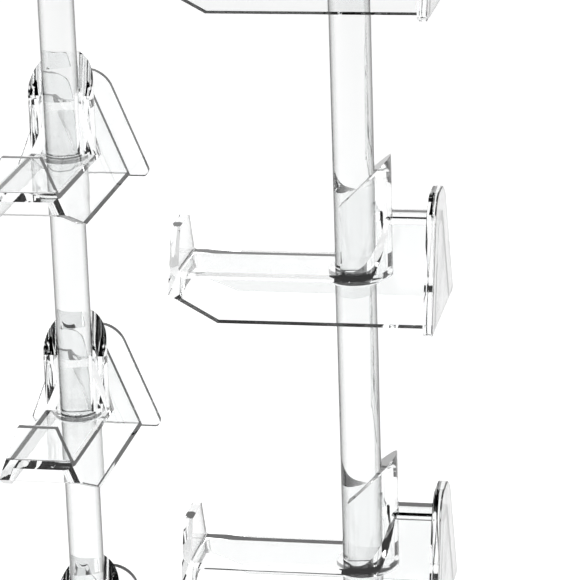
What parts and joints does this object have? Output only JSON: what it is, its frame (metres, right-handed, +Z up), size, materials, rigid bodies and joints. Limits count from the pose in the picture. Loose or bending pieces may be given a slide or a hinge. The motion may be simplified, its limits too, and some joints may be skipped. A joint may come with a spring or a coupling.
{
  "type": "eyeglass display rack",
  "caption": "Countertop rack for glasses: clear nose-shaped holders stacked on round rod columns, each tier swivelling, on a turning round platform.",
  "frame": {"origin": "on the table, on the turntable's axis", "axes": "+Z up along the turntable's axis; +X from the axis to column a, +Y to column b"},
  "size_m": [0.248, 0.248, 0.3681],
  "materials": {
    "clear_moulding": "clear, polished injection moulding",
    "clear_rod": "clear cast rod, glossy",
    "black_sheet": "black cast sheet, polished",
    "steel": "zinc-plated, satin",
    "ball_steel": "polished",
    "nylon": "natural nylon, matt",
    "rubber": "matt"
  },
  "bodies": {
    "base": {"base_plate": "black_sheet", "foot_set": "rubber", "lower_race": "steel", "lower_race_screws": "steel", "pivot_bolt": "steel", "pivot_washer": "steel", "pivot_cap_nut": "ball_steel"},
    "ball_ring": {"ball_cage": "nylon", "ball_set": "ball_steel"},
    "turntable": {"platform": "black_sheet", "upper_race": "steel", "upper_race_screws": "steel", "pivot_bush": "nylon", "collar_screws": "steel", "collar_a": "clear_moulding", "collar_b": "clear_moulding", "collar_c": "clear_moulding", "collar_d": "clear_moulding"},
    "tier_a1": {"holder_a1": "clear_moulding", "rod_a1": "clear_rod"},
    "tier_a2": {"holder_a2": "clear_moulding", "rod_a2": "clear_rod"},
    "tier_a3": {"holder_a3": "clear_moulding", "rod_a3": "clear_rod"},
    "tier_a4": {"holder_a4": "clear_moulding", "rod_a4": "clear_rod", "cap_a": "clear_moulding"},
    "tier_b1": {"holder_b1": "clear_moulding", "rod_b1": "clear_rod"},
    "tier_b2": {"holder_b2": "clear_moulding", "rod_b2": "clear_rod"},
    "tier_b3": {"holder_b3": "clear_moulding", "rod_b3": "clear_rod"},
    "tier_b4": {"holder_b4": "clear_moulding", "rod_b4": "clear_rod", "cap_b": "clear_moulding"},
    "tier_c1": {"holder_c1": "clear_moulding", "rod_c1": "clear_rod"},
    "tier_c2": {"holder_c2": "clear_moulding", "rod_c2": "clear_rod"},
    "tier_c3": {"holder_c3": "clear_moulding", "rod_c3": "clear_rod"},
    "tier_c4": {"holder_c4": "clear_moulding", "rod_c4": "clear_rod", "cap_c": "clear_moulding"},
    "tier_d1": {"holder_d1": "clear_moulding", "rod_d1": "clear_rod"},
    "tier_d2": {"holder_d2": "clear_moulding", "rod_d2": "clear_rod"},
    "tier_d3": {"holder_d3": "clear_moulding", "rod_d3": "clear_rod"},
    "tier_d4": {"holder_d4": "clear_moulding", "rod_d4": "clear_rod", "cap_d": "clear_moulding"}
  },
  "joints": [
    {"name": "turntable_spin", "type": "hinge", "parent": "base", "child": "turntable", "pos_m": [0, 0, 0.0264], "axis": [0, 0, 1], "continuous": true},
    {"name": "ball_ring_orbit", "type": "hinge", "parent": "base", "child": "ball_ring", "pos_m": [0, 0, 0.0188], "axis": [0, 0, 1], "continuous": true},
    {"name": "swivel_a1", "type": "hinge", "parent": "turntable", "child": "tier_a1", "pos_m": [0.097, 0, 0.048], "axis": [0, 0, 1], "continuous": true},
    {"name": "swivel_a2", "type": "hinge", "parent": "tier_a1", "child": "tier_a2", "pos_m": [0.097, 0, 0.123], "axis": [0, 0, 1], "continuous": true},
    {"name": "swivel_a3", "type": "hinge", "parent": "tier_a2", "child": "tier_a3", "pos_m": [0.097, 0, 0.198], "axis": [0, 0, 1], "continuous": true},
    {"name": "swivel_a4", "type": "hinge", "parent": "tier_a3", "child": "tier_a4", "pos_m": [0.097, 0, 0.273], "axis": [0, 0, 1], "continuous": true},
    {"name": "swivel_b1", "type": "hinge", "parent": "turntable", "child": "tier_b1", "pos_m": [0, 0.097, 0.048], "axis": [0, 0, 1], "continuous": true},
    {"name": "swivel_b2", "type": "hinge", "parent": "tier_b1", "child": "tier_b2", "pos_m": [0, 0.097, 0.123], "axis": [0, 0, 1], "continuous": true},
    {"name": "swivel_b3", "type": "hinge", "parent": "tier_b2", "child": "tier_b3", "pos_m": [0, 0.097, 0.198], "axis": [0, 0, 1], "continuous": true},
    {"name": "swivel_b4", "type": "hinge", "parent": "tier_b3", "child": "tier_b4", "pos_m": [0, 0.097, 0.273], "axis": [0, 0, 1], "continuous": true},
    {"name": "swivel_c1", "type": "hinge", "parent": "turntable", "child": "tier_c1", "pos_m": [-0.097, 0, 0.048], "axis": [0, 0, 1], "continuous": true},
    {"name": "swivel_c2", "type": "hinge", "parent": "tier_c1", "child": "tier_c2", "pos_m": [-0.097, 0, 0.123], "axis": [0, 0, 1], "continuous": true},
    {"name": "swivel_c3", "type": "hinge", "parent": "tier_c2", "child": "tier_c3", "pos_m": [-0.097, 0, 0.198], "axis": [0, 0, 1], "continuous": true},
    {"name": "swivel_c4", "type": "hinge", "parent": "tier_c3", "child": "tier_c4", "pos_m": [-0.097, 0, 0.273], "axis": [0, 0, 1], "continuous": true},
    {"name": "swivel_d1", "type": "hinge", "parent": "turntable", "child": "tier_d1", "pos_m": [0, -0.097, 0.048], "axis": [0, 0, 1], "continuous": true},
    {"name": "swivel_d2", "type": "hinge", "parent": "tier_d1", "child": "tier_d2", "pos_m": [0, -0.097, 0.123], "axis": [0, 0, 1], "continuous": true},
    {"name": "swivel_d3", "type": "hinge", "parent": "tier_d2", "child": "tier_d3", "pos_m": [0, -0.097, 0.198], "axis": [0, 0, 1], "continuous": true},
    {"name": "swivel_d4", "type": "hinge", "parent": "tier_d3", "child": "tier_d4", "pos_m": [0, -0.097, 0.273], "axis": [0, 0, 1], "continuous": true}
  ],
  "couplings": [
    {"joint": "ball_ring_orbit", "follows": "turntable_spin", "ratio": 0.5}
  ]
}
